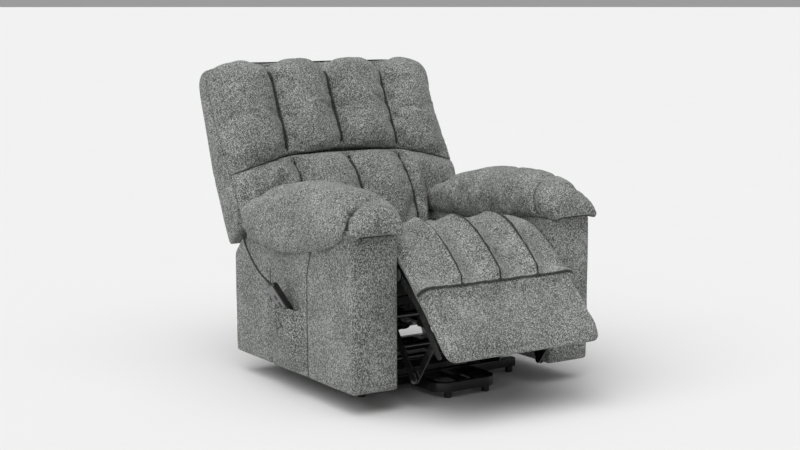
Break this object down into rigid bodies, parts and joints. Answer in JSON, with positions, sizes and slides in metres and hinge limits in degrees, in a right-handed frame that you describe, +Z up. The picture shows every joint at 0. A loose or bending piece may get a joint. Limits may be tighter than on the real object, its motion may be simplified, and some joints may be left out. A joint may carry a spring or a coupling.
{
  "type": "lift recliner chair",
  "caption": "Upholstered power lift recliner armchair with channelled seat and back, pillow arms, side pocket with a wired handset, folding leg rest and a steel lift base.",
  "frame": {"origin": "on the floor under the middle of the chair, 385 mm behind the front face of the arms", "axes": "+Z up, -Y the way the sitter faces, +X to the left hand of the sitter (right side seen from the front)"},
  "size_m": [1.0191, 1.3161, 1.062],
  "materials": {
    "upholstery": "heathered woven, matt",
    "plywood": "bare birch ply",
    "black_plastic": "fine textured",
    "grey_plastic": "satin grey",
    "black_rubber": "matt",
    "bright_steel": "ground rod",
    "zinc_steel": "zinc plated",
    "dark_tube": "satin",
    "black_steel": "gloss black powder coat"
  },
  "bodies": {
    "base": {"base_front_crossbar": "black_steel", "base_rear_crossbar": "black_steel", "base_side_rails": "black_steel", "base_mid_bar": "black_steel", "base_loop": "black_steel", "base_loop_brace": "black_steel", "base_feet": "black_plastic", "base_pivot_plates": "black_steel", "base_motor_clevis": "black_steel"},
    "rear_arms": {"lift_torque_tube": "black_steel", "rear_lift_links": "black_steel"},
    "front_arms": {"front_link_shaft": "black_steel", "front_lift_links": "black_steel"},
    "lift_motor_unit": {"lift_motor": "black_plastic", "lift_tube": "dark_tube"},
    "lift_rod_unit": {"lift_rod": "bright_steel"},
    "chassis": {"chassis_plate_left": "black_steel", "chassis_plate_right": "black_steel", "chassis_cross_tubes": "black_steel", "motor_clevises": "black_steel", "chassis_pins": "zinc_steel", "seat_side_rails": "plywood", "seat_cross_rails": "plywood", "seat_springs": "zinc_steel", "seat_cushion": "upholstery", "leg_hinge_pins": "zinc_steel", "arm_box_left": "upholstery", "arm_box_right": "upholstery", "arm_pillow_left": "upholstery", "arm_pillow_right": "upholstery", "rear_skirt": "upholstery", "control_box": "black_plastic", "power_inlet": "black_plastic", "side_pocket": "upholstery", "cord_gland": "black_plastic", "handset_cord": "black_rubber"},
    "backrest": {"back_cushion": "upholstery", "lumbar_cushion": "upholstery", "back_cover": "upholstery", "back_brackets": "black_steel", "back_lower_tube": "black_steel"},
    "back_motor_unit": {"back_motor": "black_plastic", "back_tube": "dark_tube"},
    "back_rod_unit": {"back_rod": "bright_steel"},
    "leg_rest": {"legrest_board": "plywood", "legrest_pad": "upholstery", "legrest_brackets": "black_steel"},
    "leg_crank": {"leg_crank_tube": "black_steel", "leg_cranks": "black_steel"},
    "leg_coupler": {"leg_couplers": "black_steel"},
    "leg_motor_unit": {"leg_motor": "black_plastic", "leg_tube": "dark_tube"},
    "leg_rod_unit": {"leg_rod": "bright_steel"},
    "handset": {"handset_body": "black_plastic", "handset_face": "grey_plastic", "handset_strain_relief": "black_rubber"},
    "button_up": {"button_up": "black_rubber"},
    "button_down": {"button_down": "black_rubber"}
  },
  "joints": [
    {"name": "lift", "type": "hinge", "parent": "base", "child": "rear_arms", "pos_m": [0, -0.117, 0.13], "axis": [1, 0, 0], "range_deg": [0, 56]},
    {"name": "chassis_tilt", "type": "hinge", "parent": "rear_arms", "child": "chassis", "pos_m": [0, 0.332, 0.199], "axis": [1, 0, 0], "range_deg": [-31, 1]},
    {"name": "front_arm_swing", "type": "hinge", "parent": "base", "child": "front_arms", "pos_m": [0, -0.173, 0.107], "axis": [1, 0, 0], "range_deg": [-1, 63]},
    {"name": "lift_motor_pitch", "type": "hinge", "parent": "base", "child": "lift_motor_unit", "pos_m": [0, 0.305, 0.072], "axis": [1, 0, 0], "range_deg": [-1, 5]},
    {"name": "lift_rod_slide", "type": "slide", "parent": "lift_motor_unit", "child": "lift_rod_unit", "axis": [0, -0.94, 0.3413], "range_m": [-0.001, 0.081]},
    {"name": "back_recline", "type": "hinge", "parent": "chassis", "child": "backrest", "pos_m": [0, 0.305, 0.4], "axis": [-1, 0, 0], "range_deg": [0, 32]},
    {"name": "back_motor_pitch", "type": "hinge", "parent": "chassis", "child": "back_motor_unit", "pos_m": [0, -0.135, 0.29], "axis": [1, 0, 0], "range_deg": [-1, 2]},
    {"name": "back_rod_slide", "type": "slide", "parent": "back_motor_unit", "child": "back_rod_unit", "axis": [0, 1, 0.0086], "range_m": [-0.062, 0.002]},
    {"name": "leg_rest_open", "type": "hinge", "parent": "chassis", "child": "leg_rest", "pos_m": [0, -0.375, 0.43], "axis": [-1, 0, 0], "range_deg": [-39, 45]},
    {"name": "leg_crank_swing", "type": "hinge", "parent": "chassis", "child": "leg_crank", "pos_m": [0, -0.265, 0.275], "axis": [-1, 0, 0], "range_deg": [-40, 46]},
    {"name": "leg_coupler_swing", "type": "hinge", "parent": "leg_crank", "child": "leg_coupler", "pos_m": [0, -0.40271, 0.097], "axis": [-1, 0, 0], "range_deg": [-46, 40]},
    {"name": "leg_motor_pitch", "type": "hinge", "parent": "chassis", "child": "leg_motor_unit", "pos_m": [0, 0.215, 0.24], "axis": [1, 0, 0], "range_deg": [-2, 2]},
    {"name": "leg_rod_slide", "type": "slide", "parent": "leg_motor_unit", "child": "leg_rod_unit", "axis": [0, -0.9999, -0.0104], "range_m": [-0.026, 0.03]},
    {"name": "handset_lift_out", "type": "slide", "parent": "chassis", "child": "handset", "axis": [-0.3244, 0.4867, 0.8111], "range_m": [0, 0.06], "deforming": ["handset_cord"]},
    {"name": "button_up_press", "type": "slide", "parent": "handset", "child": "button_up", "axis": [0.9459, 0.1669, 0.2782], "range_m": [0, 0.001], "stiffness_N_per_m": 400},
    {"name": "button_down_press", "type": "slide", "parent": "handset", "child": "button_down", "axis": [0.9459, 0.1669, 0.2782], "range_m": [0, 0.001], "stiffness_N_per_m": 400}
  ],
  "couplings": [
    {"joint": "chassis_tilt", "follows": "lift", "ratio": -0.544},
    {"joint": "front_arm_swing", "follows": "lift", "ratio": 1.108},
    {"joint": "lift_motor_pitch", "follows": "lift", "ratio": 0.067},
    {"joint": "lift_rod_slide", "follows": "lift", "m_per_rad": 0.0813},
    {"joint": "back_motor_pitch", "follows": "back_recline", "ratio": 0.015},
    {"joint": "back_rod_slide", "follows": "back_recline", "m_per_rad": -0.1073},
    {"joint": "leg_crank_swing", "follows": "leg_rest_open", "ratio": 1},
    {"joint": "leg_coupler_swing", "follows": "leg_rest_open", "ratio": -1},
    {"joint": "leg_motor_pitch", "follows": "leg_rest_open", "ratio": -0.005},
    {"joint": "leg_rod_slide", "follows": "leg_rest_open", "m_per_rad": 0.0365}
  ]
}
